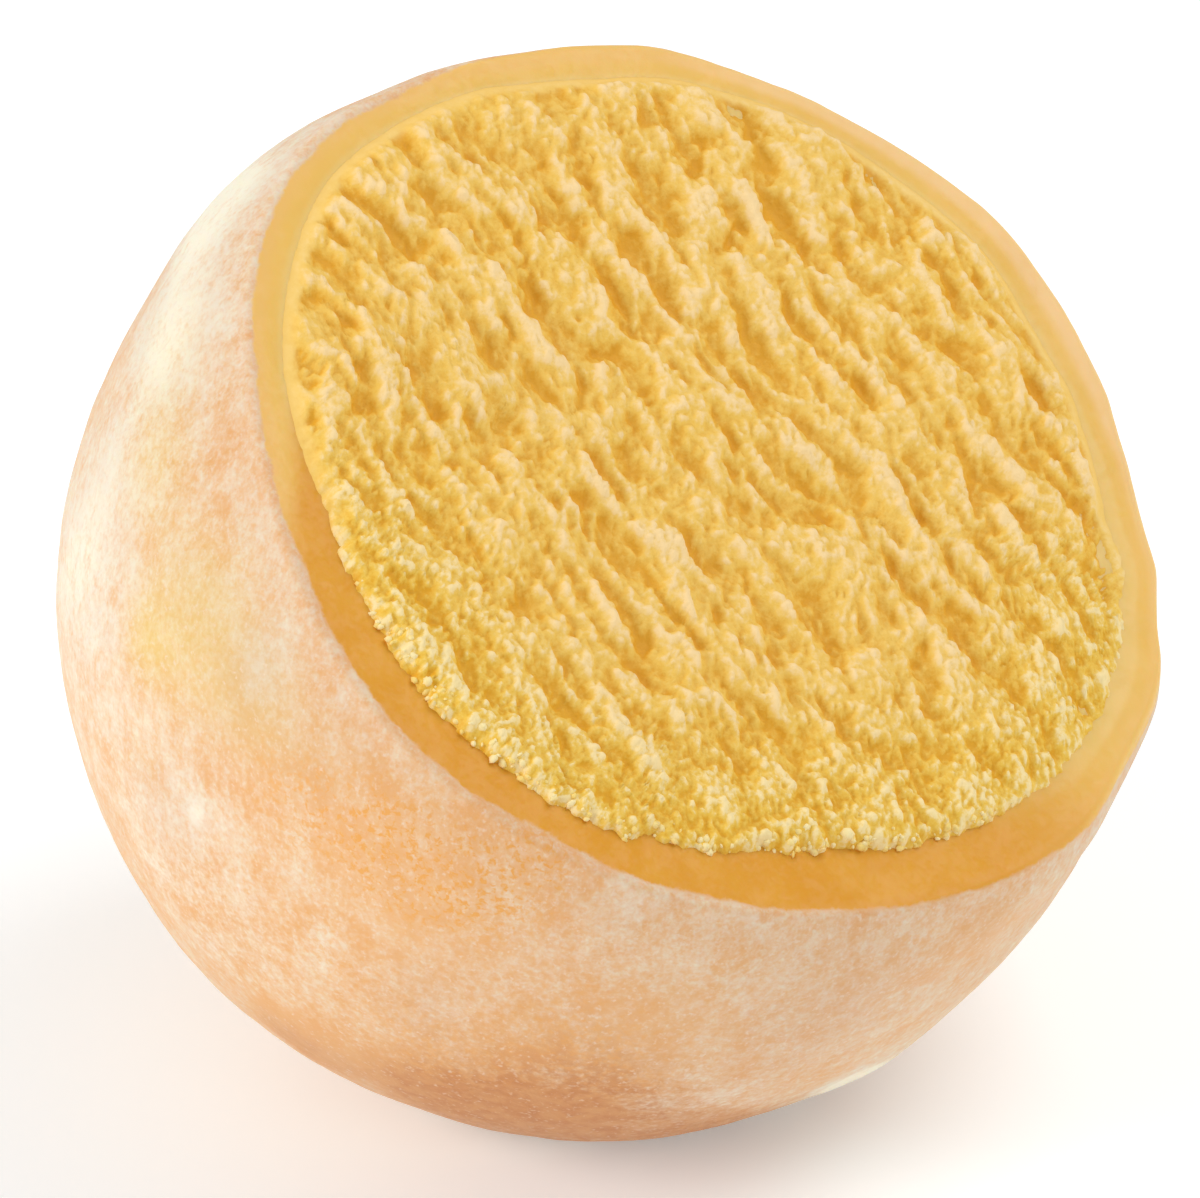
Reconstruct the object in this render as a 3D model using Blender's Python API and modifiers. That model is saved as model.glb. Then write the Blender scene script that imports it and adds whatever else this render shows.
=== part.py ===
"""A mango mochi with a slice taken off it on the slant: a ball of mango ice cream in a soft skin of rice dough.

Metres, +Z up. The origin is the middle of the flat spot that the ball rests on, straight under the ball's centre.
The cut faces -Y and up. Two solids: the skin, a deep cup with a thick wall, and the ice cream that fills it.
"""

import math

import bmesh
import bpy
from mathutils import Matrix, Vector, noise

# The ball
BALL_RADIUS = 0.02096
CENTRE_HEIGHT = 0.0194  # less than the radius, as the soft ball sits down on its base
BASE_BLEND = 0.0011  # how softly the base turns up into the side
BASE_TRIM = 0.0001  # cut off the underside, which leaves it flat
SWELLS = (  # (direction from the centre, how far the surface stands out, its width in radians)
    (Vector((-0.75, 0.26, -0.61)), 0.00020, 0.45),
    (Vector((0.11, -0.70, -0.71)), -0.00016, 0.40),
    (Vector((0.80, 0.50, -0.30)), 0.00018, 0.50),
    (Vector((0.20, 0.95, 0.10)), -0.00015, 0.55),
    (Vector((-0.95, -0.10, 0.25)), -0.00008, 0.30),
)

# The cut
CUT_TILT = math.radians(36.2)  # the cut's normal, away from straight up, towards -Y
CUT_DISTANCE = 0.0090  # from the ball's centre
RIM_FLARE = 0.00047  # the skin is pressed out a little along the cut
RIM_LOBES = (  # (lobes round the rim, size, phase in degrees): the outline is a soft four-cornered round
    (1, 0.00008, -6),
    (3, 0.00008, -140),
    (4, 0.00034, 76),
    (6, 0.00012, -5),
)
FLARE_START = 0.0010  # distances from the centre along the cut's normal
FLARE_START_SWING = 0.0032  # the lip is shortest on the side named next
FLARE_SHORT_SIDE = math.radians(-58)
FLARE_FULL = 0.0080
RIM_ROUND = 0.00045  # radius of the skin's outer edge at the cut

# The skin and the ice cream
SKIN_THICKNESS = 0.0020
HOLLOW_SHIFT = 0.00055  # at the cut the hollow lies off centre, so the skin is thin on the side named next
HOLLOW_SIDE = math.radians(60)
GAP = 0.0003
PROUD = 0.0005  # the ice cream stands this far above the skin's cut edge
RIDGE_SPACING = 0.0022
RIDGE_LENGTH = 0.0052
RIDGE_HEIGHT = 0.00050
SWELL_HEIGHT = 0.00022
EDGE_ROUND = 0.0009
HOLLOWS = (  # (x, y, depth, half width, half length) on the cut, from its middle: the deepest scrapes
    (0.0106, 0.0069, 0.00055, 0.0010, 0.0016),
    (0.0112, -0.0005, 0.00060, 0.0011, 0.0018),
    (0.0165, -0.0045, 0.00045, 0.0010, 0.0020),
    (-0.0030, 0.0105, 0.00035, 0.0011, 0.0022),
)

SEGMENTS = 56
GRID_ACROSS = 50
GRID_ALONG = 31


def smoothstep(low, high, value):
    t = min(max((value - low) / (high - low), 0.0), 1.0)
    return t * t * (3 - 2 * t)


def smooth_max(a, b, blend):
    h = max(blend - abs(a - b), 0.0) / blend
    return max(a, b) + h * h * blend / 4


def lobes(angle):
    return sum(size * math.cos(n * angle - math.radians(phase)) for n, size, phase in RIM_LOBES)


def turned(name, profile):
    """The mesh of a profile of (radius, height) turned round the local Z axis."""
    mesh = bpy.data.meshes.new(name + "_profile")
    mesh.from_pydata([(r, 0.0, z) for r, z in profile], [(i, i + 1) for i in range(len(profile) - 1)], [])
    guide = bpy.data.objects.new(name + "_profile", mesh)
    bpy.context.scene.collection.objects.link(guide)
    screw = guide.modifiers.new("Turn", "SCREW")
    screw.axis = "Z"
    screw.steps = screw.render_steps = SEGMENTS
    screw.use_merge_vertices = True
    screw.merge_threshold = 0.00001
    bpy.context.view_layer.update()
    made = bpy.data.meshes.new_from_object(guide.evaluated_get(bpy.context.evaluated_depsgraph_get()))
    bpy.data.objects.remove(guide)
    made.name = name
    return made


def arc(radius, lowest_angle, highest_angle, count):
    """Points of a circle about the centre, by angle from the +Z axis."""
    step = (highest_angle - lowest_angle) / count
    angles = [lowest_angle + i * step for i in range(count + 1)]
    return [(radius * math.sin(a), radius * math.cos(a)) for a in angles]


def shape(mesh, to_world, floor, hollow_radius):
    """Gives a turned ball its true form: the flared rim, the swells and the flat base.

    floor(r) is the height of the flat base for a point at the distance r from the centre. Points nearer to the centre than
    hollow_radius belong to the hollow or its filling.
    """
    to_local = to_world.inverted()
    for vertex in mesh.vertices:
        local = vertex.co.copy()
        flat = floor(local.length)
        in_hollow = local.length < hollow_radius
        radius = math.hypot(local.x, local.y)
        if radius > 1e-6:
            angle = math.atan2(local.y, local.x)
            start = FLARE_START + FLARE_START_SWING * math.cos(angle - FLARE_SHORT_SIDE)
            flare = (RIM_FLARE + lobes(angle)) * smoothstep(start, FLARE_FULL, local.z)
            full = math.sqrt(max(BALL_RADIUS**2 - local.z**2, 1e-8))
            local.x *= 1 + flare / full
            local.y *= 1 + flare / full
        if in_hollow:
            aside = HOLLOW_SHIFT * smoothstep(0.0, CUT_DISTANCE, local.z)
            local.x += aside * math.cos(HOLLOW_SIDE)
            local.y += aside * math.sin(HOLLOW_SIDE)
        outward = (to_world.to_3x3() @ local).normalized()
        fade = 1 - smoothstep(FLARE_START, CUT_DISTANCE, local.z)
        for direction, amount, width in SWELLS:
            apart = outward.angle(direction.normalized())
            local += local.normalized() * amount * fade * math.exp(-((apart / width) ** 2))
        world = to_world @ local
        world.z = smooth_max(world.z, flat, BASE_BLEND)
        vertex.co = to_local @ world


def finish(obj, colour, roughness, collection, parent):
    material = bpy.data.materials.new(obj.name)
    material.use_nodes = True
    shader = material.node_tree.nodes["Principled BSDF"]
    shader.inputs["Base Color"].default_value = (*colour, 1)
    shader.inputs["Roughness"].default_value = roughness
    shader.inputs["Metallic"].default_value = 0
    obj.data.materials.append(material)
    obj.data.shade_smooth()
    obj.data.set_sharp_from_angle(angle=math.radians(42))
    collection.objects.link(obj)
    obj.parent = parent


def cut(obj, cutter):
    modifier = obj.modifiers.new("Cut by " + cutter.name, "BOOLEAN")
    modifier.operation = "DIFFERENCE"
    modifier.solver = "EXACT"
    modifier.object = cutter


def ridges(x, y):
    """Height of the scraped surface: crests that run down the slope, broken into short lengths, with a few deep hollows."""
    bend = 0.0016 * noise.noise(Vector((x / 0.009, y / 0.009, 2.3)))
    across = (x + bend) / (RIDGE_SPACING * 0.55)
    along = (y + 0.12 * x) / (RIDGE_LENGTH * 0.55)
    height = RIDGE_HEIGHT * noise.noise(Vector((across, along, 0.4)))
    height += SWELL_HEIGHT * noise.noise(Vector((x / 0.005, y / 0.007, 7.1)))
    for hx, hy, depth, half_width, half_length in HOLLOWS:
        height -= depth * math.exp(-(((x - hx) / half_width) ** 2) - ((y - hy) / half_length) ** 2)
    return height


def main():
    for obj in list(bpy.data.objects):
        bpy.data.objects.remove(obj)

    parts = bpy.data.collections.new("mango_mochi")
    cutters = bpy.data.collections.new("cutters")
    for collection in (parts, cutters):
        bpy.context.scene.collection.children.link(collection)

    frame = bpy.data.objects.new("ball_centre", None)
    frame.location = (0, 0, CENTRE_HEIGHT)
    frame.rotation_euler = (CUT_TILT, 0, 0)
    parts.objects.link(frame)
    bpy.context.view_layer.update()
    to_world = frame.matrix_world.copy()

    # The skin: up the inner wall from the bottom, out over the cut edge, and down the outside
    inner_radius = BALL_RADIUS - SKIN_THICKNESS
    outer_rim = math.sqrt(BALL_RADIUS**2 - CUT_DISTANCE**2)
    inner_start = math.acos(CUT_DISTANCE / inner_radius)
    outer_start = math.acos((CUT_DISTANCE - RIM_ROUND) / BALL_RADIUS)
    inner = arc(inner_radius, math.pi, inner_start, 16)
    outer = arc(BALL_RADIUS, outer_start, math.pi, 21)
    edge = [
        (outer_rim - RIM_ROUND * 1.05, CUT_DISTANCE),
        (outer_rim - RIM_ROUND * 0.30, CUT_DISTANCE - RIM_ROUND * 0.25),
    ]
    skin_mesh = turned("mochi_skin", inner + edge + outer)
    middle = BALL_RADIUS - SKIN_THICKNESS / 2
    shape(skin_mesh, to_world, lambda r: SKIN_THICKNESS if r < middle else -BASE_TRIM, middle)
    skin = bpy.data.objects.new("mochi_skin", skin_mesh)
    finish(skin, (0.91, 0.64, 0.38), 0.6, parts, frame)

    base = bpy.data.meshes.new("base_cutter")
    builder = bmesh.new()
    bmesh.ops.create_cube(builder, size=1, matrix=Matrix.Translation((0, 0, -0.005)) @ Matrix.Diagonal((0.04, 0.04, 0.01, 1)))
    builder.to_mesh(base)
    builder.free()
    base_cutter = bpy.data.objects.new("base_cutter", base)

    # The ice cream: a ball inside the skin, taller than needed, with its top scraped off
    filling_radius = inner_radius - GAP
    filling_top = CUT_DISTANCE + PROUD + 0.0012
    side = arc(filling_radius, math.acos(filling_top / filling_radius), math.pi, 15)
    filling_mesh = turned("mango_ice_cream", [(0.0, filling_top)] + side)
    shape(filling_mesh, to_world, lambda r: SKIN_THICKNESS + GAP, middle)
    filling = bpy.data.objects.new("mango_ice_cream", filling_mesh)
    finish(filling, (0.86, 0.50, 0.13), 0.55, parts, frame)

    # The scraper: a slab over the cut, whose underside is the ridged surface
    slab = bpy.data.meshes.new("scraper")
    builder = bmesh.new()
    half = 0.0192
    bmesh.ops.create_grid(builder, x_segments=GRID_ACROSS, y_segments=GRID_ALONG, size=half)
    edge_radius = math.sqrt(filling_radius**2 - CUT_DISTANCE**2) + RIM_FLARE
    for vertex in builder.verts:
        x, y = vertex.co.x, vertex.co.y
        from_edge = math.hypot(x - HOLLOW_SHIFT * math.cos(HOLLOW_SIDE), y - HOLLOW_SHIFT * math.sin(HOLLOW_SIDE)) - edge_radius - lobes(math.atan2(y, x))
        inside = 1 - 0.6 * smoothstep(-0.0030, -0.0004, from_edge)
        drop = 0.6 * PROUD * smoothstep(-EDGE_ROUND, 0.0002, from_edge)
        vertex.co.z = CUT_DISTANCE + PROUD + inside * ridges(x, y) - drop
    made = bmesh.ops.extrude_face_region(builder, geom=builder.faces[:])
    for element in made["geom"]:
        if isinstance(element, bmesh.types.BMVert):
            element.co.z = filling_top + 0.002
    bmesh.ops.recalc_face_normals(builder, faces=builder.faces[:])
    builder.to_mesh(slab)
    builder.free()
    scraper = bpy.data.objects.new("scraper", slab)

    for cutter in (base_cutter, scraper):
        cutter.hide_render = True
        cutter.display_type = "WIRE"
        cutters.objects.link(cutter)
    scraper.parent = frame

    cut(skin, base_cutter)
    cut(filling, scraper)


main()
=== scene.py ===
"""The looks of a mango mochi cut open: rice-dough skin dusted with starch, and scraped mango ice cream."""

import math

import bpy
import numpy as np
from mathutils import Matrix, Vector


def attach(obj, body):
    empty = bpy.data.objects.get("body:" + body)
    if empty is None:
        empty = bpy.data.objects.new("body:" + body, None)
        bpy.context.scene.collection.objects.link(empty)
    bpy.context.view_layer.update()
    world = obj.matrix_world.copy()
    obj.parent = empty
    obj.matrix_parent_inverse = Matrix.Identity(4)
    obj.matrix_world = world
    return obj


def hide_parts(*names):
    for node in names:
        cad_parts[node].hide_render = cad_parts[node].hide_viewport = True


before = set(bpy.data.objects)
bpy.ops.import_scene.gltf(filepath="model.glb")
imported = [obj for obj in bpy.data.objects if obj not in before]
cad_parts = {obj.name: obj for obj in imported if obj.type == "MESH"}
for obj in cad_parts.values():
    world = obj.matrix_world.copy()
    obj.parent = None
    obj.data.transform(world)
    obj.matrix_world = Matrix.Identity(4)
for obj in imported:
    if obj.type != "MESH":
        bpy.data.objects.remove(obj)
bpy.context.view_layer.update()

# Sizes in millimetres, as in the CAD. "Local" has its origin at the ball's centre, Z along the cut's normal, X across.
BALL = 20.96
CENTRE = 19.4
CUT_TILT = math.radians(36.2)
CUT = 9.0
FLARE = 0.47
LOBES = ((1, 0.08, -6), (3, 0.08, -140), (4, 0.34, 76), (6, 0.12, -5))
FLARE_START, FLARE_SWING, FLARE_SHORT, FLARE_FULL = 1.0, 3.2, math.radians(-58), 8.0
RIM_ROUND = 0.38
SKIN = 2.0
PROUD = 0.5
BASE_BLEND = 1.1
SWELLS = (
    ((-0.75, 0.26, -0.61), 0.20, 0.45),
    ((0.11, -0.70, -0.71), -0.16, 0.40),
    ((0.80, 0.50, -0.30), 0.18, 0.50),
    ((0.20, 0.95, 0.10), -0.15, 0.55),
    ((-0.95, -0.10, 0.25), -0.08, 0.30),
)

# The photograph's view: which way the camera looks, and where the ball sits in the picture
AZIMUTH, ELEVATION = math.radians(-45.8), math.radians(30)
TO_CAMERA = np.array((math.sin(AZIMUTH) * math.cos(ELEVATION), -math.cos(AZIMUTH) * math.cos(ELEVATION), math.sin(ELEVATION)))
RIGHT = np.array((math.cos(AZIMUTH), math.sin(AZIMUTH), 0.0))
UP = np.cross(TO_CAMERA, RIGHT)
PIXELS_PER_MM = 26.0
BALL_AT = (602.8, 594.9)
IMAGE = (1200, 1198)

ROTATE = np.array(Matrix.Rotation(CUT_TILT, 3, "X"))  # local to world directions


def to_world(local):
    return local @ ROTATE.T + (0, 0, CENTRE)


def to_local(world):
    return (world - (0, 0, CENTRE)) @ ROTATE


def on_cut(px, py):
    """Where a point of the photograph lies on the cut, in local x and y."""
    x, y = (px - BALL_AT[0]) / PIXELS_PER_MM, -(py - BALL_AT[1]) / PIXELS_PER_MM
    axes = ROTATE.T  # rows: the local axes in the world
    rows = np.array([[a @ RIGHT, a @ UP] for a in axes])
    rest = np.array([x, y]) - (CUT + PROUD * 0.6) * rows[2]
    return np.linalg.solve(rows[:2].T, rest)


def on_ball(px, py):
    """The direction in the world, from the ball's centre, of a point of its outside that the photograph shows."""
    x, y = (px - BALL_AT[0]) / PIXELS_PER_MM / BALL, -(py - BALL_AT[1]) / PIXELS_PER_MM / BALL
    depth = math.sqrt(max(1 - x * x - y * y, 0.0))
    way = x * RIGHT + y * UP + depth * TO_CAMERA
    return way / np.linalg.norm(way)


class Noise:
    """Smooth gradient noise, about -1 to 1."""

    def __init__(self, seed):
        random = np.random.default_rng(seed)
        self.table = np.tile(random.permutation(512), 2)
        ways = random.normal(size=(512, 3))
        self.ways = ways / np.linalg.norm(ways, axis=1, keepdims=True)

    def __call__(self, x, y, z=0.0):
        x, y, z = np.broadcast_arrays(np.asarray(x, float), np.asarray(y, float), np.asarray(z, float))
        cell = [np.floor(v).astype(int) for v in (x, y, z)]
        part = [v - c for v, c in zip((x, y, z), cell)]
        fade = [p * p * p * (p * (p * 6 - 15) + 10) for p in part]
        total = np.zeros_like(x)
        for i in (0, 1):
            for j in (0, 1):
                for k in (0, 1):
                    spot = self.table[(cell[0] + i) & 511]
                    spot = self.table[(spot + cell[1] + j) & 511]
                    way = self.ways[self.table[(spot + cell[2] + k) & 511] & 511]
                    dot = way[..., 0] * (part[0] - i) + way[..., 1] * (part[1] - j) + way[..., 2] * (part[2] - k)
                    weight = (fade[0] if i else 1 - fade[0]) * (fade[1] if j else 1 - fade[1]) * (fade[2] if k else 1 - fade[2])
                    total += weight * dot
        return total * 1.6


def smooth(low, high, value):
    t = np.clip((value - low) / (high - low), 0, 1)
    return t * t * (3 - 2 * t)


def smooth_max(a, b, blend):
    h = np.maximum(blend - np.abs(a - b), 0) / blend
    return np.maximum(a, b) + h * h * blend / 4


def apart(angle, middle):
    """How far an angle is from one given in degrees, in degrees."""
    return np.abs((np.degrees(angle) - middle + 180) % 360 - 180)


# Round the cut, in degrees: how far the cream reaches out over the skin's inner edge, and how far the powder reaches in
# over the skin's outer edge, in millimetres
CREAM_EDGE = (
    (0, 0.55), (10, 0.80), (20, 0.85), (30, 1.10), (40, 1.20), (50, 1.10), (57, 0.95), (65, 0.80), (72, 0.90), (80, 1.05), (90, 1.15),
    (100, 0.90), (110, 0.90), (120, 0.75), (130, 0.80), (140, 0.90), (150, 0.65), (157, 0.25), (163, 0.02), (170, 0.08), (180, -0.05),
    (190, 0.16), (200, 0.20), (210, 0.30), (217, 0.30), (220, 0.42), (223, 0.0), (230, -0.15), (240, -0.40), (250, -0.42), (260, -0.10),
    (270, -0.05), (280, 0.15), (290, 0.40), (300, 0.80), (310, 0.70), (320, 1.0), (330, 0.65), (340, 0.75), (350, 0.70),
)  # fmt: skip
POWDER_EDGE = (
    (0, -0.30), (40, -0.25), (70, -0.15), (85, 0.10), (100, 0.30), (120, 0.25), (140, 0.22), (160, 0.30), (170, 0.42), (180, 0.38),
    (190, 0.24), (200, 0.30), (209, 0.58), (214, 0.55), (219, 0.34), (230, 0.36), (240, 0.26), (250, 0.18), (260, 0.06), (270, -0.04),
    (280, -0.10), (288, -0.32), (300, -0.60), (315, -0.60), (330, -0.40),
)  # fmt: skip


def round_cut(table, angle):
    """A value between those of a table that goes round the cut."""
    at, values = zip(*table)
    return np.interp(np.degrees(angle) % 360, at, values, period=360)


def lobes(angle):
    total = sum(size * np.cos(n * angle - math.radians(phase)) for n, size, phase in LOBES)
    for middle, width, amount in ((296, 9, -0.42), (311, 6, 0.14), (324, 3.5, 0.22), (316, 3, -0.10), (348, 4, 0.14), (10, 12, 0.28), (56, 6, 0.20), (76, 8, -0.16), (91, 7, -0.24)):
        total = total + amount * np.exp(-((apart(angle, middle) / width) ** 2))
    return total


def shape(local, floor):
    """The ball's true form, as in the CAD: flared rim, swells and flat base. floor is the height of the base for each point."""
    local = local.copy()
    angle = np.arctan2(local[:, 1], local[:, 0])
    start = FLARE_START + FLARE_SWING * np.cos(angle - FLARE_SHORT)
    flare = (FLARE + lobes(angle)) * smooth(start, FLARE_FULL, local[:, 2])
    full = np.sqrt(np.maximum(BALL**2 - local[:, 2] ** 2, 1e-2))
    local[:, :2] *= (1 + flare / full)[:, None]
    length = np.linalg.norm(local, axis=1, keepdims=True)
    outward = (local / length) @ ROTATE.T
    fade = 1 - smooth(FLARE_START, CUT, local[:, 2])
    for direction, amount, width in SWELLS:
        way = np.array(direction) / np.linalg.norm(direction)
        off = np.arccos(np.clip(outward @ way, -1, 1))
        local += local / length * (amount * fade * np.exp(-((off / width) ** 2)))[:, None]
    world = to_world(local)
    world[:, 2] = smooth_max(world[:, 2], floor, BASE_BLEND)
    return to_local(world)


def make_mesh(name, points_mm, quads, tris=(), fields=None):
    """An object from points in world millimetres, with named values at its points."""
    mesh = bpy.data.meshes.new(name)
    quads = np.asarray(quads, np.int32).reshape(-1, 4)
    tris = np.asarray(tris, np.int32).reshape(-1, 3)
    mesh.vertices.add(len(points_mm))
    mesh.vertices.foreach_set("co", (np.asarray(points_mm) / 1000).astype(np.float32).ravel())
    mesh.loops.add(quads.size + tris.size)
    mesh.loops.foreach_set("vertex_index", np.concatenate([quads.ravel(), tris.ravel()]))
    mesh.polygons.add(len(quads) + len(tris))
    starts = np.concatenate([np.arange(len(quads)) * 4, quads.size + np.arange(len(tris)) * 3]).astype(np.int32)
    mesh.polygons.foreach_set("loop_start", starts)
    mesh.update(calc_edges=True)
    mesh.validate()
    for key, values in (fields or {}).items():
        layer = mesh.attributes.new(key, "FLOAT", "POINT")
        layer.data.foreach_set("value", np.asarray(values, np.float32))
    mesh.shade_smooth()
    obj = bpy.data.objects.new(name, mesh)
    bpy.context.scene.collection.objects.link(obj)
    return obj


def ring_quads(first, rings, count, closed=True):
    """Quads between neighbouring rings of count points each."""
    a = (first + np.arange(rings - 1)[:, None] * count + np.arange(count)[None, :]).ravel()
    step = (np.arange(count) + 1) % count
    b = (first + np.arange(rings - 1)[:, None] * count + step[None, :]).ravel()
    return np.stack([a, a + count, b + count, b], -1)


# ---------------------------------------------------------------- the skin

SEGMENTS = 420
inner_radius = BALL - SKIN
outer_rim = math.sqrt(BALL**2 - CUT**2)
inner_rim = math.sqrt(inner_radius**2 - CUT**2)
NEAR = math.radians(232)  # the side of the cut nearest to the camera, as an angle round the cut


def skin_profile():
    """The skin from the bottom of its inside, over the cut, to the bottom of its outside.

    Each row holds radius, height, how far in it is from the outer edge of the cut, its place across the band (0 outside,
    1 inside) and whether it is on the outside.
    """
    rows = []
    for t in np.linspace(math.pi - 0.02, math.acos((CUT - 0.9) / inner_radius), 12):
        rows.append((min(inner_radius * math.sin(t), inner_rim - 1.1) if t < 1.6 else inner_radius * math.sin(t), inner_radius * math.cos(t), 9, 1.0, 0))
    for s in (0.9, 0.5):
        rows.append((inner_rim - 1.1, CUT - s, 9, 1.0, 0))
    centre = CUT - RIM_ROUND
    end = math.sqrt((BALL - RIM_ROUND) ** 2 - centre**2)
    turn = math.acos(centre / (BALL - RIM_ROUND))
    across = end - inner_rim
    for q in (*np.linspace(-1.1 / across, 0.55, 10), *np.linspace(0.62, 1, 8)):
        rows.append((inner_rim + across * q, CUT, across * (1 - q), 1 - q, 0))
    for k in range(1, 9):
        t = k / 9
        a = t * turn
        rows.append((end + RIM_ROUND * math.sin(a), centre + RIM_ROUND * math.cos(a), -RIM_ROUND * a, 0, 1))
    for s in (0.0, 0.10, 0.22, 0.36, 0.52):
        a = turn + s / BALL
        rows.append((BALL * math.sin(a), BALL * math.cos(a), -RIM_ROUND * turn - s, 0.0, 1))
    for t in np.linspace(turn + 0.70 / BALL, math.pi - 0.004, 118):
        rows.append((BALL * math.sin(t), BALL * math.cos(t), -9, 0.0, 1))
    return np.array(rows)


profile = skin_profile()
angles = np.arange(SEGMENTS) * 2 * math.pi / SEGMENTS
grid_r = np.repeat(profile[:, 0], SEGMENTS)
grid_z = np.repeat(profile[:, 1], SEGMENTS)
grid_a = np.tile(angles, len(profile))
local = np.stack([grid_r * np.cos(grid_a), grid_r * np.sin(grid_a), grid_z], -1)
inwards = np.repeat(profile[:, 2], SEGMENTS)
band_value = np.repeat(profile[:, 3], SEGMENTS)
outside = np.repeat(profile[:, 4], SEGMENTS)

# Unevenness of hand-rolled dough: broad dents, small bumps, and a wavy cut edge
broad, small, fine = Noise(11), Noise(12), Noise(13)
way = local / np.linalg.norm(local, axis=1, keepdims=True)
calm = 1 - 0.6 * smooth(5.0, CUT, local[:, 2])
bump = 0.10 * broad(*(way * 3.1).T) + 0.045 * small(*(way * 8.0).T) + 0.018 * fine(*(way * 22.0).T)
world_way = way @ ROTATE.T
for px, py, reach, amount in ((876, 1068, 75, 0.26), (1117, 782, 45, -0.40), (1010, 250, 60, 0.14), (252, 170, 60, -0.14)):
    off = np.arccos(np.clip(world_way @ on_ball(px, py), -1, 1))
    bump += amount * np.exp(-((off / (reach / 546)) ** 2)) / np.maximum(calm, 0.4)
local = local + way * (bump * np.where(outside > 0, calm, 0))[:, None]
on_band = smooth(CUT - 0.8, CUT - 0.1, local[:, 2]) * (inwards > -0.6)
edge_wave = 0.06 * small(local[:, 0] / 2.6, local[:, 1] / 2.6, 3.0) + 0.025 * fine(local[:, 0] / 0.8, local[:, 1] / 0.8, 9.0)
under_cream = smooth(0.55, 0.95, band_value * 2.2 / (2.2 - round_cut(CREAM_EDGE, grid_a)))
local[:, 2] += on_band * edge_wave * (1 - under_cream)

floor_of = np.where(outside > 0, -0.1, SKIN)
local = shape(local, floor_of)
world = to_world(local)
world[:, 2] = np.maximum(world[:, 2], 0.0)

# The powder ends at an uneven line along the cut edge
ragged_line = 0.10 * fine(local[:, 0] / 0.7, local[:, 1] / 0.7, local[:, 2] / 0.7) + 0.09 * small(local[:, 0] / 2.0, local[:, 1] / 2.0, local[:, 2] / 2.0)
cut_value = smooth(-0.28, 0.24, inwards + 0.18 - round_cut(POWDER_EDGE, grid_a) + ragged_line)
band_value = np.clip(band_value * 2.2 / (2.2 - round_cut(CREAM_EDGE, grid_a)) + 0.32 * (1 - smooth(18, 36, apart(grid_a, 314))), 0, 1.2)

quads = ring_quads(0, len(profile), SEGMENTS)
inner_pole = len(world)
world = np.vstack([world, world[:SEGMENTS].mean(0), world[-SEGMENTS:].mean(0)])
around_a = np.append(grid_a, [0, 0])
around_deg = np.degrees(around_a) % 360 + 5 * small(np.cos(around_a) * 4, np.sin(around_a) * 4, 5.0)
outer_part = np.append(np.clip(1 - 2 * band_value, -1, 1), [0, 0])
# Where the band is coloured darker orange: partly the cut dough's own deeper orange, partly painted shade from the
# cream's raised edge
near_value = smooth(148 + 9 * outer_part, 165 + 9 * outer_part, around_deg) * (1 - smooth(268, 304, around_deg))
right_value = 1 - smooth(30, 62, apart(around_a, 4))  # the paler part of the band, away from the light
cut_value = np.append(cut_value, [1, 0])
band_value = np.append(band_value, [1, 0])
around = np.arange(SEGMENTS)
after = (around + 1) % SEGMENTS
tris = np.vstack(
    [
        np.stack([np.full(SEGMENTS, inner_pole), around, after], -1),
        np.stack([np.full(SEGMENTS, inner_pole + 1), len(world) - 2 - SEGMENTS + after, len(world) - 2 - SEGMENTS + around], -1),
    ]
)

# Where powder lies thick, where the dough shows yellow, and where it is bare and deep orange; also painted shade,
# darker, warmer and greyer towards the bottom
from_centre = world - (0, 0, CENTRE)
from_centre = from_centre / np.linalg.norm(from_centre, axis=1, keepdims=True)


def patches(spots):
    """The sum of soft round patches: (pixel x, pixel y, reach in pixels, amount)."""
    total = np.zeros(len(world))
    for px, py, reach, amount in spots:
        off = np.arccos(np.clip(from_centre @ on_ball(px, py), -1, 1))
        total += amount * np.exp(-((off / (reach / 546)) ** 2))
    return total


# Powder cover; the patches that thin it along the bottom are painted shade
powder_and_painted_shade = 0.34 + 0.14 * broad(*(from_centre * 2.3 + 5).T)
powder_and_painted_shade += patches(
    (
        (85, 560, 130, 0.62),
        (235, 215, 105, 0.80),
        (178, 355, 95, 0.64),
        (120, 465, 80, 0.16),
        (420, 1000, 70, -0.10),
        (450, 905, 70, -0.26),
        (560, 1110, 60, -0.70),
        (640, 1020, 90, -0.14),
        (540, 845, 40, -0.20),
        (165, 820, 75, 0.20),
        (260, 900, 65, 0.08),
        (250, 560, 45, 0.12),
        (380, 860, 120, -0.32),
        (255, 705, 70, -0.22),
        (600, 1060, 110, -0.25),
        (560, 1120, 150, -0.30),
        (440, 1090, 90, -0.80),
        (300, 1030, 60, -1.10),
        (640, 1010, 60, -0.14),
        (980, 930, 40, -0.28),
        (850, 1080, 50, 1.20),
        (203, 809, 24, 0.55),
        (325, 932, 18, 0.50),
        (268, 668, 32, 0.30),
        (640, 1089, 40, 0.16),
        (720, 1089, 40, 0.16),
        (700, 1125, 60, -0.30),
        (980, 930, 40, -0.16),
    )
)
yellow = 0.12 * broad(*(from_centre * 1.9 + 9).T) + patches(
    ((160, 460, 80, 0.46), (190, 345, 90, 0.30), (205, 620, 100, 0.62), (150, 640, 45, 0.35), (270, 700, 70, 0.35), (150, 760, 50, 0.20), (350, 760, 70, 0.20))
)
flecks = patches(((540, 850, 45, 0.80), (300, 790, 70, 0.60), (400, 838, 75, 1.10), (480, 880, 70, 0.80), (330, 940, 80, 0.45), (200, 640, 90, 0.30), (560, 1000, 100, 0.30), (640, 1060, 110, 0.35), (430, 1040, 90, 0.40)))
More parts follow.
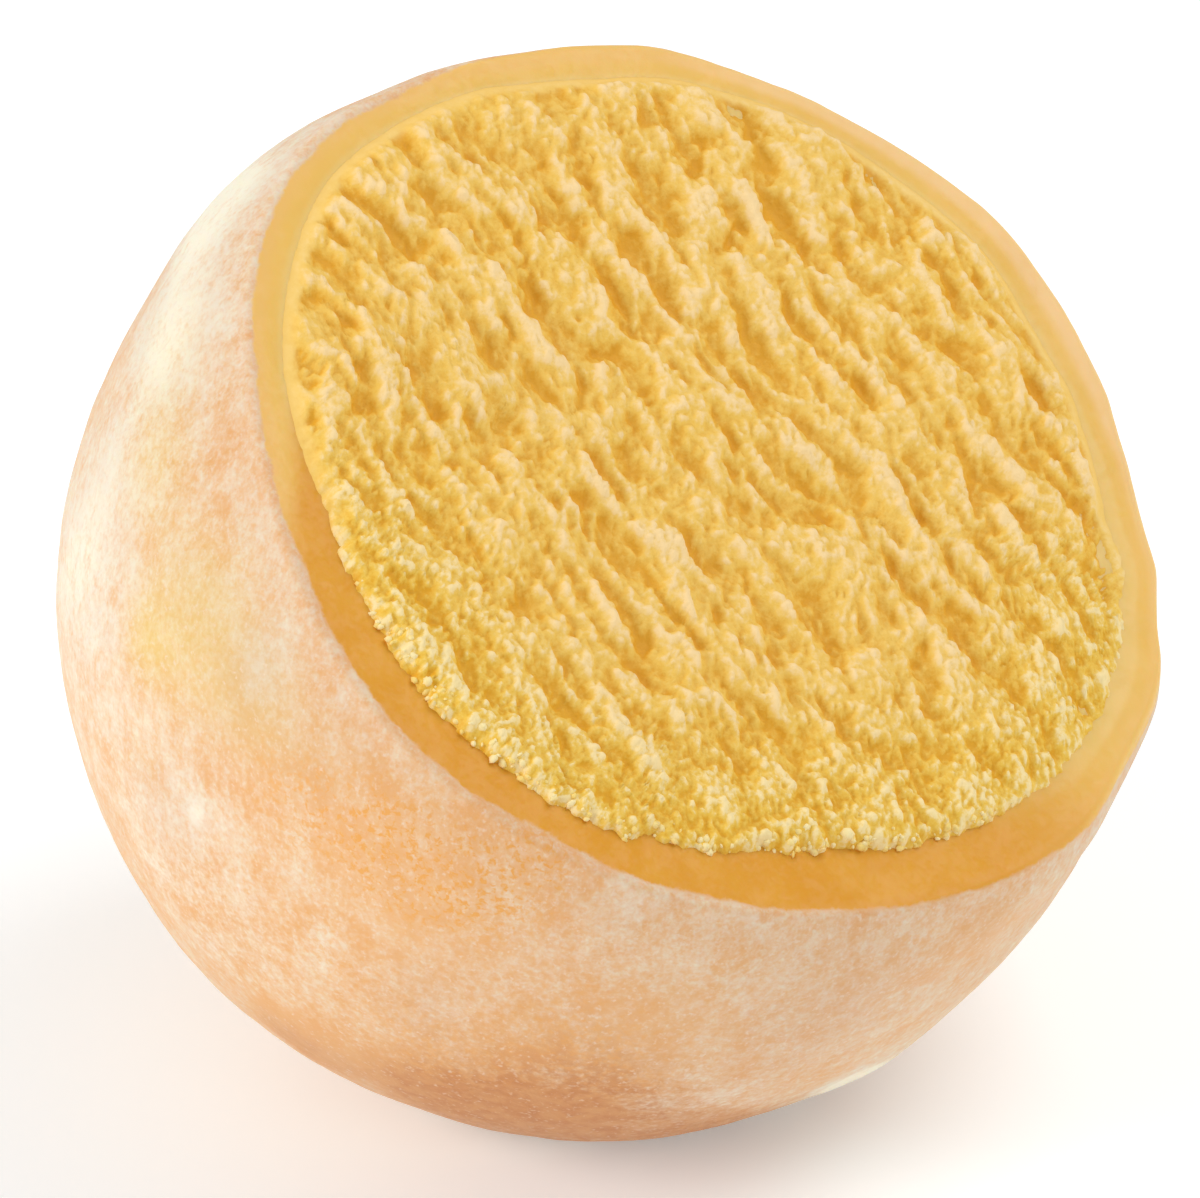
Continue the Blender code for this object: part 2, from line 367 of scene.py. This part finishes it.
# Random warm tone, plus painted shade: darker orange patches along the bottom and on the lower right
warm_and_painted_shade = 0.10 * small(*(from_centre * 2.7 + 3).T) + patches(
    (
        (440, 1095, 110, 0.55),
        (560, 1115, 130, 1.15),
        (560, 1108, 55, 0.85),
        (300, 1035, 55, 0.25),
        (450, 1092, 60, 0.25),
        (420, 1000, 60, 0.22),
        (700, 1130, 120, 0.65),
        (300, 1040, 70, 0.30),
        (600, 1050, 90, 0.25),
        (430, 960, 80, 0.10),
        (975, 925, 40, 0.22),
        (960, 990, 70, 0.20),
    )
)
# Painted shade: soft patches where the lower skin is painted greyer and duller
painted_grey_shade = patches(
    (
        (840, 1000, 120, 0.50),
        (560, 960, 120, 0.25),
        (780, 1050, 90, 0.20),
        (250, 700, 80, 0.50),
        (335, 755, 55, 0.35),
        (170, 805, 60, 0.42),
        (200, 600, 60, 0.25),
        (420, 1000, 60, 0.30),
        (270, 665, 45, 0.35),
    )
)
# Painted shade: towards the floor the skin is painted darker and warmer, with less powder
low = 1 - smooth(0.3, 6.0, world[:, 2])
warm_and_painted_shade += 0.40 * low
powder_and_painted_shade -= 0.15 * low

skin = make_mesh(
    "skin_dough",
    world,
    quads,
    tris,
    {"cut": cut_value, "band": band_value, "near": near_value, "right": right_value, "powder_and_painted_shade": powder_and_painted_shade, "yellow": yellow, "flecks": flecks, "warm_and_painted_shade": warm_and_painted_shade, "painted_grey_shade": painted_grey_shade},
)


# ---------------------------------------------------------------- the ice cream

SIDE = 300  # cells along each side of the square that is mapped to the disc


def disc(side):
    """Points of a unit disc on an even square grid, by rings of squares."""
    u, v = np.meshgrid(np.linspace(-1, 1, side + 1), np.linspace(-1, 1, side + 1), indexing="ij")
    wide = np.abs(u) >= np.abs(v)
    safe_u, safe_v = np.where(u == 0, 1, u), np.where(v == 0, 1, v)
    radius = np.where(wide, u, v)
    angle = np.where(wide, math.pi / 4 * v / safe_u, math.pi / 2 - math.pi / 4 * u / safe_v)
    return (radius * np.cos(angle)).ravel(), (radius * np.sin(angle)).ravel()


n_bend, n_bend2, n_bend3, n_coarse, n_mid, n_small, n_tiny, n_edge, n_lump, n_froth = (Noise(s) for s in range(21, 31))

# The deepest scrapes: places in the photograph, depth, half width and half length
SCRAPES = [
    (*on_cut(px, py), depth, wide, long)
    for px, py, depth, wide, long in (
        (792, 240, 0.45, 0.55, 1.3),
        (745, 385, 0.30, 0.40, 1.2),
        (862, 392, 0.40, 0.45, 1.0),
        (925, 430, 0.35, 0.40, 1.6),
        (1040, 400, 0.35, 0.40, 1.2),
        (985, 520, 0.35, 0.45, 1.8),
        (560, 560, 0.25, 0.40, 1.2),
        (470, 420, 0.30, 0.45, 1.0),
        (620, 700, 0.25, 0.45, 1.2),
        (400, 250, 0.30, 0.50, 0.9),
        (800, 620, 0.25, 0.40, 1.3),
        (700, 560, 0.22, 0.35, 1.0),
        (1032, 625, 0.35, 0.40, 1.7),
        (512, 425, 0.25, 0.40, 1.4),
        (350, 325, 0.22, 0.40, 0.8),
    )
]


def scraped(x, y):
    """How high the scraped surface stands, about -1 in a hollow to 1 on a crest: torn ridges that run down the slope."""
    bend = n_bend(x / 6, y / 7)
    wx = x + 0.8 * bend + 0.26 * n_bend2(x / 1.5, y / 2.2) + 0.06 * n_bend3(x / 0.42, y / 0.5)
    wy = y + 0.8 * n_bend(x / 6, y / 7, 4.5) + 0.45 * n_bend2(x / 1.5, y / 2.2, 6.5) + 0.12 * n_bend3(x / 0.42, y / 0.5, 8.5)
    total = 1.60 * n_coarse((wx + 0.09 * wy) / 1.75, wy / 4.2)
    total += 1.20 * n_mid((wx - 0.02 * wy) / 0.98, wy / 2.1)
    total += 0.56 * n_small((wx - 0.22 * wy) / 0.55, wy / 0.85)
    total += 0.18 * n_tiny((wx - 0.42 * wy) / 0.31, wy / 0.40)
    for sx, sy, depth, wide, long in SCRAPES:
        total -= 2.6 * depth * np.exp(-(((x - sx) / wide) ** 2) - ((y - sy) / long) ** 2)
    return np.tanh(0.68 * total + 0.22)


ux, uy = disc(SIDE)
angle = np.arctan2(uy, ux)
reach = np.hypot(ux, uy)

# How tidy the edge is: a smooth, dense ring round the far side, crumbs to the very edge on the near side, where they hang
# over the band, and in between, low on the right, cream that is level with the band
tidy = 1 - smooth(-0.05, 0.55, np.cos(angle - NEAR))
tidy = tidy * smooth(12, 34, apart(angle, 300))
level_with = 1 - smooth(14, 38, apart(angle, 302))
overlap = round_cut(CREAM_EDGE, angle) + (0.04 + 0.08 * (1 - tidy)) * n_edge(np.cos(angle) * 9, np.sin(angle) * 9, 0.5)
overlap += (1 - tidy) * (0.14 * n_edge(np.cos(angle) * 26, np.sin(angle) * 26, 4.0) + 0.08 * n_edge(np.cos(angle) * 60, np.sin(angle) * 60, 7.0))
rim = inner_rim * (1 + (FLARE + lobes(angle)) / outer_rim) + overlap
x, y = ux * rim, uy * rim
from_edge = (1 - reach) * rim
ragged = 0.26 * n_edge(x / 0.9, y / 0.9, 1.0) + 0.18 * n_edge(x / 0.35, y / 0.35, 2.0)
near_edge = from_edge + ragged * (1 - 0.9 * tidy) * smooth(0.0, 0.12, from_edge)

level = scraped(x, y)
on_crest = 0.85 + 0.15 * smooth(-0.6, 0.35, level)
lumps = np.abs(n_lump((x - 0.2 * y) / 0.42, y / 0.47, 1.5)) - 0.3
froth = np.abs(n_froth((x - 0.3 * y) / 0.235, y / 0.26, 2.5)) - 0.3
crumbly = (1 - tidy) * (1 - smooth(0.5, 8.0, from_edge + 2.5 * ragged))  # finer crumbs along the near edge
relief = (0.43 - 0.15 * crumbly) * (level - 0.15) + on_crest * ((0.165 + 0.09 * crumbly) * lumps + (0.062 + 0.10 * crumbly) * froth)
flatten = 1 - (0.15 + 0.70 * tidy) * (1 - smooth(0.25, 0.95 - 0.25 * tidy, from_edge + 0.35 * ragged))
height = relief * flatten
seat = CUT - 0.01  # where the cream's edge meets the band
rise = 0.75 + 0.05 * tidy  # how far in from its edge it reaches its full height
part = np.clip(near_edge / rise, 0, 1)
round_over = (1 - tidy) * np.sin(part * math.pi / 2) ** 0.85 + tidy * smooth(0, 1, part)
step_down = 0.06 * (1 - tidy)
proud = PROUD - (0.28 * level_with + 0.20 * tidy) * (1 - smooth(0.6, 2.2, from_edge))
top = seat - step_down + (proud + 0.01 + step_down + height) * round_over
bulge = 0.05 * (1 - tidy) * (1 - level_with) * np.sin(np.clip(near_edge / 0.7, 0, 1) * math.pi) * (1 - smooth(0.4, 0.9, from_edge))
lean = 0.14 * (level + 0.8 * lumps) * smooth(0.1, 0.8, from_edge)  # torn crests lean over to one side
local_top = np.stack([x + np.cos(angle) * bulge + 0.70 * lean, y + np.sin(angle) * bulge + 0.71 * lean, top], -1)

# Crests pale, hollows deep: the height over its surroundings at three scales, read on the same square grid
shape2 = (SIDE + 1, SIDE + 1)


def blurred(values, reach_cells):
    grid = values.reshape(shape2)
    for axis in (0, 1):
        for _ in range(3):
            padded = np.concatenate([np.repeat(np.take(grid, [0], axis), reach_cells, axis), grid, np.repeat(np.take(grid, [-1], axis), reach_cells, axis)], axis)
            total = np.cumsum(padded, axis)
            total = np.concatenate([np.zeros_like(np.take(total, [0], axis)), total], axis)
            width = 2 * reach_cells + 1
            n = grid.shape[axis]
            grid = (np.take(total, np.arange(width, width + n), axis) - np.take(total, np.arange(0, n), axis)) / width
    return grid.ravel()


crest_value = (height - blurred(height, 9)) / 0.24
middle_value = (height - blurred(height, 4)) / 0.13
fine_value = (height - blurred(height, 1)) / 0.04
tidy_value = tidy * (1 - smooth(0.25, 0.75, from_edge + 0.35 * ragged))
lip_value = (1 - tidy) * smooth(-0.05, 0.20, near_edge) * (1 - smooth(0.25, 0.95, near_edge + 1.1 * ragged))  # the pale lip along the near edge
lip_value = lip_value * (0.15 + 0.85 * smooth(-0.35, 0.25, n_edge(np.cos(angle) * 17, np.sin(angle) * 17, 2.5)))

index = np.arange((SIDE + 1) ** 2).reshape(shape2)
top_quads = np.stack([index[:-1, :-1], index[1:, :-1], index[1:, 1:], index[:-1, 1:]], -1).reshape(-1, 4)
border = np.concatenate([index[:-1, 0], index[-1, :-1], index[:0:-1, -1], index[0, :0:-1]])

side_rows = []
border_angle = angle[border]
start_angle = math.acos((CUT - 0.35) / inner_radius)
for t in np.linspace(start_angle + 0.03, math.pi - 0.05, 5):
    r = (inner_radius + 0.06) * math.sin(t)
    z = (inner_radius + 0.06) * math.cos(t)
    side_rows.append(np.stack([r * np.cos(border_angle), r * np.sin(border_angle), np.full(len(border), z)], -1))
side = shape(np.vstack(side_rows), SKIN)
pole = shape(np.array([[0, 0, -(inner_radius + 0.06)]]), SKIN)
local_all = np.vstack([local_top, side, pole])
count = len(border)
base_index = len(local_top)
side_quads = ring_quads(base_index, len(side_rows), count)
step = (np.arange(count) + 1) % count
join = np.stack([border, base_index + np.arange(count), base_index + step, border[step]], -1)
last = base_index + (len(side_rows) - 1) * count
cap = np.stack([np.full(count, len(local_all) - 1), last + step, last + np.arange(count)], -1)
extra = len(local_all) - len(local_top)
fields = {
    "crest": np.append(crest_value, np.zeros(extra)),
    "middle": np.append(middle_value, np.zeros(extra)),
    "grain": np.append(fine_value, np.zeros(extra)),
    "tidy": np.append(tidy_value, np.zeros(extra)),
    "crumbly": np.append(crumbly, np.zeros(extra)),
    "lip": np.append(lip_value, np.zeros(extra)),
    "seam": np.append(tidy * (1 - smooth(0.0, 0.34, from_edge)), np.zeros(extra)),
}
cream = make_mesh("ice_cream", to_world(local_all), np.vstack([top_quads, join, side_quads]), cap, fields)


# ---------------------------------------------------------------- loose grains on the ice cream


def solid_ball(points=12):
    """The points and faces of a low, round grain."""
    g = (1 + 5**0.5) / 2
    corners = np.array([(-1, g, 0), (1, g, 0), (-1, -g, 0), (1, -g, 0), (0, -1, g), (0, 1, g), (0, -1, -g), (0, 1, -g), (g, 0, -1), (g, 0, 1), (-g, 0, -1), (-g, 0, 1)])
    faces = np.array(
        [
            (0, 11, 5), (0, 5, 1), (0, 1, 7), (0, 7, 10), (0, 10, 11), (1, 5, 9), (5, 11, 4), (11, 10, 2), (10, 7, 6), (7, 1, 8),
            (3, 9, 4), (3, 4, 2), (3, 2, 6), (3, 6, 8), (3, 8, 9), (4, 9, 5), (2, 4, 11), (6, 2, 10), (8, 6, 7), (9, 8, 1),
        ]
    )  # fmt: skip
    return corners / np.linalg.norm(corners[0]), faces


def grains(name, seed, count, small_radius, large_radius, weight, sink):
    """Many small uneven grains as one mesh, thrown where weight is high and sunk a little into the surface."""
    random = np.random.default_rng(seed)
    chance = np.clip(weight, 0, None)
    chance = chance / chance.sum()
    chosen = random.choice(len(local_top), count, p=chance)
    cell = 2 * 16.8 / SIDE
    centre = local_top[chosen] + random.uniform(-0.5, 0.5, (count, 3)) * (cell, cell, 0.02)
    radius = small_radius + (large_radius - small_radius) * random.random(count) ** 1.8
    centre[:, 2] += radius * (1 - sink) - radius * 0.35
    corners, faces = solid_ball()
    turn = np.linalg.qr(random.normal(size=(count, 3, 3)))[0]
    turn[:, 0] *= np.sign(np.linalg.det(turn))[:, None]
    stretch = random.uniform(0.55, 1.6, (count, 1, 3))
    lumps = random.uniform(0.86, 1.14, (count, 12, 1))
    points = np.einsum("nij,nkj->nki", turn, corners[None] * stretch * lumps) * radius[:, None, None] + centre[:, None]
    all_faces = (faces[None] + np.arange(count)[:, None, None] * 12).reshape(-1, 3)
    tint = np.repeat(random.random(count), 12)
    return make_mesh(name, to_world(points.reshape(-1, 3)), np.zeros((0, 4), int), all_faces, {"tint": tint})


edge_weight = (1 - smooth(46, 58, apart(angle, 226))) * (1 - smooth(0.10, 0.8, near_edge)) * smooth(0.0, 0.1, near_edge)
grains_small = grains("ice_grains_small", 41, 110, 0.07, 0.12, edge_weight, 1.1)
grains_large = grains("ice_grains_large", 42, 110, 0.11, 0.20, edge_weight, 1.25)


# ---------------------------------------------------------------- materials


def linear(r, g, b):
    """A colour given as it looks on a screen."""
    return tuple(c / 12.92 if c <= 0.04045 else ((c + 0.055) / 1.055) ** 2.4 for c in (r, g, b)) + (1,)


class Tree:
    """Short forms for building a material."""

    def __init__(self, name):
        self.material = bpy.data.materials.new(name)
        self.material.use_nodes = True
        self.nodes = self.material.node_tree.nodes
        self.links = self.material.node_tree.links
        self.shader = self.nodes["Principled BSDF"]
        coordinates = self.nodes.new("ShaderNodeTexCoord")
        scale = self.nodes.new("ShaderNodeVectorMath")
        scale.operation = "SCALE"
        scale.inputs["Scale"].default_value = 1000  # millimetres
        self.links.new(coordinates.outputs["Object"], scale.inputs[0])
        self.mm = scale.outputs[0]

    def put(self, socket, value):
        if isinstance(value, bpy.types.NodeSocket):
            self.links.new(value, socket)
        else:
            socket.default_value = value

    def attribute(self, name):
        node = self.nodes.new("ShaderNodeAttribute")
        node.attribute_name = name
        return node.outputs["Fac"]

    def noise(self, scale, detail=2.0, rough=0.5, offset=(0, 0, 0), stretch=(1, 1, 1), distortion=0.0):
        move = self.nodes.new("ShaderNodeMapping")
        move.inputs["Location"].default_value = offset
        move.inputs["Scale"].default_value = stretch
        self.links.new(self.mm, move.inputs["Vector"])
        node = self.nodes.new("ShaderNodeTexNoise")
        node.inputs["Scale"].default_value = scale
        node.inputs["Detail"].default_value = detail
        node.inputs["Roughness"].default_value = rough
        node.inputs["Distortion"].default_value = distortion
        self.links.new(move.outputs[0], node.inputs["Vector"])
        return node.outputs["Fac"]

    def math(self, kind, a, b=0.0, c=0.0, clamp=False):
        node = self.nodes.new("ShaderNodeMath")
        node.operation = kind
        node.use_clamp = clamp
        for socket, value in zip(node.inputs, (a, b, c)):
            self.put(socket, value)
        return node.outputs[0]

    def sum(self, start, *parts):
        """start plus each part's own swing about its middle, 0.5."""
        total = start
        for socket, size in parts:
            total = self.math("ADD", total, self.math("MULTIPLY", self.math("SUBTRACT", socket, 0.5), size))
        return total

    def ramp(self, value, low, high, out_low=0.0, out_high=1.0):
        node = self.nodes.new("ShaderNodeMapRange")
        node.interpolation_type = "SMOOTHSTEP"
        self.put(node.inputs["Value"], value)
        node.inputs["From Min"].default_value = low
        node.inputs["From Max"].default_value = high
        node.inputs["To Min"].default_value = out_low
        node.inputs["To Max"].default_value = out_high
        return node.outputs["Result"]

    def mix(self, amount, a, b, kind="MIX"):
        node = self.nodes.new("ShaderNodeMix")
        node.data_type = "RGBA"
        node.blend_type = kind
        self.put(node.inputs["Factor"], amount)
        self.put(node.inputs["A"], a)
        self.put(node.inputs["B"], b)
        return node.outputs["Result"]

    def bump(self, height, strength, distance, normal=None):
        node = self.nodes.new("ShaderNodeBump")
        node.inputs["Strength"].default_value = strength
        node.inputs["Distance"].default_value = distance
        self.put(node.inputs["Height"], height)
        if normal is not None:
            self.links.new(normal, node.inputs["Normal"])
        return node.outputs["Normal"]


def dough_material():
    tree = Tree("rice_dough_finish")
    names = ("powder_and_painted_shade", "yellow", "flecks", "warm_and_painted_shade", "painted_grey_shade", "cut", "band", "near", "right")
    powder_and_painted_shade, yellow, flecks, warm_and_painted_shade, painted_grey_shade, cut, band, near, right = (tree.attribute(n) for n in names)
    mottle = tree.noise(0.5, 3, 0.55, (3, 1, 7))
    patch = tree.noise(1.2, 2, 0.55, (6, 2, 1), distortion=0.6)
    speck = tree.noise(3.0, 2, 0.6, (9, 4, 2))
    grit = tree.noise(7.0, 1, 0.5, (2, 6, 8))
    streak = tree.noise(1.0, 2, 0.5, (8, 3, 5), (1.6, 1.6, 0.35), 0.8)

    # Bare dough under the powder
    dough = tree.mix(tree.ramp(mottle, 0.3, 0.7), linear(0.915, 0.675, 0.435), linear(0.925, 0.72, 0.515))
    # Painted shade: darker orange towards the bottom and on the lower right, mixed with some random warm tone
    dough = tree.mix(tree.ramp(warm_and_painted_shade, 0.0, 0.95), dough, tree.mix(tree.ramp(patch, 0.3, 0.7), linear(0.80, 0.525, 0.305), linear(0.845, 0.60, 0.385)))
    dough = tree.mix(tree.ramp(yellow, 0.05, 0.9, 0, 0.8), dough, linear(0.93, 0.80, 0.44))

    # Starch powder: soft patches and streaks, broken up by fine grains, and thinned towards the bottom as painted shade
    amount = tree.sum(powder_and_painted_shade, (mottle, 0.95), (patch, 0.65), (streak, 0.50), (speck, 1.30), (grit, 0.55))
    cover = tree.ramp(amount, -0.20, 1.20, 0.0, 1.0)
    white = tree.mix(tree.ramp(tree.noise(0.8, 2, 0.5, (7, 2, 4)), 0.3, 0.7), linear(0.935, 0.865, 0.785), linear(0.94, 0.89, 0.81))
    white = tree.mix(tree.ramp(powder_and_painted_shade, 0.75, 1.15), white, linear(0.975, 0.935, 0.85))
    white = tree.mix(tree.ramp(yellow, 0.05, 0.9, 0, 0.7), white, linear(0.95, 0.87, 0.645))
    outside = tree.mix(cover, dough, white)
    # Painted shade: a greyer, duller tone in soft patches on the lower skin
    outside = tree.mix(tree.math("MULTIPLY", painted_grey_shade, 0.65), outside, tree.mix(cover, linear(0.84, 0.66, 0.52), linear(0.86, 0.765, 0.71)))

    # Where the powder has rubbed off in small soft flecks, the dough shows orange
    dots = tree.noise(3.6, 2, 0.55, (12, 7, 3), distortion=0.5)
    rubbed = tree.ramp(tree.sum(0.5, (dots, 1.4), (patch, 0.5), (grit, 0.3)), 0.44, 0.74)
    outside = tree.mix(tree.math("MULTIPLY", rubbed, tree.ramp(flecks, 0.0, 1.0), clamp=True), outside, linear(0.925, 0.655, 0.335))
    pale_dots = tree.ramp(tree.sum(0.5, (tree.noise(4.2, 2, 0.55, (5, 17, 3)), 1.3), (patch, -0.4)), 0.58, 0.90)
    outside = tree.mix(tree.math("MULTIPLY", pale_dots, 0.55), outside, linear(0.94, 0.855, 0.775))

    # The cut through the skin: dark orange on the near side, partly the dough's own deeper orange and partly painted
    # shade cast by the cream's raised edge, and round the rest peach, with a yellower ring further in
    shade = tree.ramp(near, 0.0, 1.0)
    drift = tree.noise(0.35, 2, 0.5, (4, 4, 4))
    pale = tree.mix(tree.ramp(band, 0.20, 0.62), tree.mix(right, linear(0.975, 0.778, 0.44), linear(0.995, 0.818, 0.56)), linear(0.975, 0.78, 0.40))
    pale = tree.mix(tree.ramp(band, 0.75, 0.98), pale, linear(0.985, 0.81, 0.47))
    deep = tree.mix(tree.ramp(drift, 0.35, 0.65), linear(0.915, 0.63, 0.16), linear(0.93, 0.66, 0.205))
    deep = tree.mix(tree.ramp(band, 0.0, 0.22), linear(0.92, 0.65, 0.235), deep)
    cut_colour = tree.mix(shade, pale, deep)
    colour = tree.mix(tree.ramp(tree.sum(cut, (speck, 0.65), (grit, 0.35)), 0.24, 0.76), outside, cut_colour)
    dim = tree.mix(tree.ramp(powder_and_painted_shade, 0.85, 1.15), (0.94, 0.95, 0.93, 1), (0.975, 0.99, 0.97, 1))
    colour = tree.mix(1.0, colour, dim, "MULTIPLY")
    tree.links.new(colour, tree.shader.inputs["Base Color"])

    rough = tree.ramp(cover, 0.0, 0.8, 0.50, 0.85)
    rough = tree.math("ADD", rough, tree.math("MULTIPLY", cut, -0.10))
    tree.links.new(rough, tree.shader.inputs["Roughness"])
    relief = tree.sum(0.5, (speck, 0.6), (grit, 0.4), (streak, 0.25))
    relief = tree.math("MULTIPLY", relief, tree.math("SUBTRACT", 1.0, tree.math("MULTIPLY", cut, 0.75)))
    tree.links.new(tree.bump(relief, 0.5, 0.00006), tree.shader.inputs["Normal"])
    tree.shader.inputs["Subsurface Weight"].default_value = 0.30
    tree.shader.inputs["Subsurface Radius"].default_value = (1.0, 0.55, 0.22)
    tree.shader.inputs["Subsurface Scale"].default_value = 0.0010
    tree.shader.inputs["Specular IOR Level"].default_value = 0.30
    return tree.material


def cream_material():
    tree = Tree("ice_cream_finish")
    names = ("crest", "middle", "grain", "tidy", "seam", "crumbly", "lip")
    crest, middle, grain, tidy, seam, crumbly, lip = (tree.attribute(n) for n in names)
    fleck = tree.noise(1.9, 3, 0.6, (2, 3, 5))
    speck = tree.noise(4.2, 3, 0.65, (8, 1, 5), distortion=0.4)
    drift = tree.noise(0.22, 2, 0.5, (6, 1, 9))
    value = tree.sum(0.43, (fleck, 0.55), (speck, 0.72))
    value = tree.math("ADD", value, tree.math("MULTIPLY", crumbly, tree.sum(0.0, (speck, 0.6))))
    value = tree.math("ADD", value, tree.math("MULTIPLY", tree.math("MULTIPLY", crest, crumbly), 0.14))
    for field, part in ((crest, 0.24), (middle, 0.17), (grain, 0.07), (lip, 0.30)):
        value = tree.math("ADD", value, tree.math("MULTIPLY", field, part))
    pit = tree.mix(tree.ramp(drift, 0.35, 0.65), linear(0.905, 0.648, 0.125), linear(0.91, 0.665, 0.155))
    half = tree.mix(tree.ramp(drift, 0.35, 0.65), linear(0.967, 0.788, 0.342), linear(0.972, 0.798, 0.375))
    high = linear(0.998, 0.865, 0.62)
    pit = tree.mix(crumbly, pit, linear(0.91, 0.668, 0.10))
    half = tree.mix(crumbly, half, linear(0.962, 0.792, 0.315))
    high = tree.mix(crumbly, high, linear(1.0, 0.905, 0.655))
    colour = tree.mix(tree.ramp(value, -0.14, 0.56), pit, half)
    colour = tree.mix(tree.ramp(value, 0.44, 0.98), colour, high)
    colour = tree.mix(tree.math("MULTIPLY", tidy, 0.75), colour, tree.mix(tree.ramp(fleck, 0.35, 0.65), linear(0.97, 0.815, 0.46), linear(0.985, 0.84, 0.52)))
    colour = tree.mix(tree.math("MULTIPLY", seam, 0.8), colour, linear(0.965, 0.785, 0.40))
    tree.links.new(colour, tree.shader.inputs["Base Color"])
    rough = tree.ramp(value, 0.0, 1.0, 0.62, 0.48)
    tree.links.new(rough, tree.shader.inputs["Roughness"])
    ice = tree.sum(0.5, (tree.noise(9.0, 2, 0.6, (1, 1, 3)), 0.6), (speck, 1.0))
    ice = tree.math("MULTIPLY", ice, tree.math("SUBTRACT", 1.0, tree.math("MULTIPLY", tidy, 0.7)))
    tree.links.new(tree.bump(ice, 0.8, 0.00004), tree.shader.inputs["Normal"])
    tree.shader.inputs["Specular IOR Level"].default_value = 0.35
    return tree.material


def grain_material():
    tree = Tree("ice_grain_finish")
    tint = tree.attribute("tint")
    frost = tree.noise(5.0, 2, 0.6, (3, 9, 1))
    value = tree.sum(0.0, (frost, 0.7))
    value = tree.math("ADD", value, tint)
    colour = tree.mix(tree.ramp(value, 0.0, 1.0), linear(0.99, 0.87, 0.50), linear(1.0, 0.93, 0.70))
    tree.links.new(colour, tree.shader.inputs["Base Color"])
    tree.links.new(tree.ramp(frost, 0.3, 0.7, 0.42, 0.58), tree.shader.inputs["Roughness"])
    tree.links.new(tree.bump(frost, 0.4, 0.00003), tree.shader.inputs["Normal"])
    tree.shader.inputs["Specular IOR Level"].default_value = 0.35
    return tree.material


skin.data.materials.append(dough_material())
cream.data.materials.append(cream_material())
loose = grain_material()

for piece, node, slot in ((skin, "mochi_skin", "rice_dough"), (cream, "mango_ice_cream", "ice_cream")):
    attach(piece, "root")
    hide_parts(node)
for piece in (grains_small, grains_large):
    piece.data.materials.append(loose)
    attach(piece, "root")


# ---------------------------------------------------------------- floor, light and camera


def floor_material():
    tree = Tree("studio_floor")
    cloud = tree.noise(0.01, 2, 0.5)
    tree.links.new(tree.mix(cloud, linear(0.99, 0.99, 0.99), linear(0.995, 0.995, 0.995)), tree.shader.inputs["Base Color"])
    tree.shader.inputs["Roughness"].default_value = 0.9
    tree.shader.inputs["Emission Color"].default_value = (0.74, 0.96, 1.08, 1)
    tree.shader.inputs["Emission Strength"].default_value = 0.21
    tree.shader.inputs["Specular IOR Level"].default_value = 0.1
    return tree.material


bpy.ops.mesh.primitive_plane_add(size=12, location=(0, 0, 0))
floor = bpy.context.object
floor.name = "studio_floor"
floor.data.materials.append(floor_material())

world_data = bpy.data.worlds.new("studio")
bpy.context.scene.world = world_data
world_data.use_nodes = True
background = world_data.node_tree.nodes["Background"]
background.inputs["Color"].default_value = (1.0, 0.99, 0.98, 1)
background.inputs["Strength"].default_value = 0.49


def soft_light(name, toward, distance, size, watts, colour=(1, 1, 1)):
    """A square soft box, toward being its direction from the ball as (right, up, to the camera) in the picture."""
    way = toward[0] * RIGHT + toward[1] * UP + toward[2] * TO_CAMERA
    way = Vector(way / np.linalg.norm(way))
    data = bpy.data.lights.new(name, "AREA")
    data.shape = "SQUARE"
    data.size = size
    data.energy = watts
    data.color = colour
    lamp = bpy.data.objects.new(name, data)
    bpy.context.scene.collection.objects.link(lamp)
    lamp.location = Vector((0, 0, CENTRE / 1000)) + way * distance
    lamp.rotation_mode = "QUATERNION"
    lamp.rotation_quaternion = way.to_track_quat("Z", "Y")
    return lamp


soft_light("key", (-1.0, 0.20, 0.65), 0.5, 0.24, 1.20)
soft_light("top", (0.55, 0.85, 0.30), 0.5, 0.35, 1.15)

camera_data = bpy.data.cameras.new("camera")
camera = bpy.data.objects.new("camera", camera_data)
bpy.context.scene.collection.objects.link(camera)
camera_data.sensor_width = 36
camera_data.lens = 600
focal_pixels = camera_data.lens / camera_data.sensor_width * max(IMAGE)
distance = focal_pixels / PIXELS_PER_MM / 1000
offset_right = (BALL_AT[0] - IMAGE[0] / 2) / PIXELS_PER_MM
offset_up = -(BALL_AT[1] - IMAGE[1] / 2) / PIXELS_PER_MM
aim = np.array((0, 0, CENTRE)) - RIGHT * offset_right - UP * offset_up
camera.location = Vector(aim / 1000 + TO_CAMERA * distance)
camera.rotation_mode = "QUATERNION"
camera.rotation_quaternion = Vector(TO_CAMERA).to_track_quat("Z", "Y")
camera_data.clip_start, camera_data.clip_end = 0.01, 20
bpy.context.scene.camera = camera

bpy.context.scene.view_settings.view_transform = "Standard"
bpy.context.scene.view_settings.look = "None"
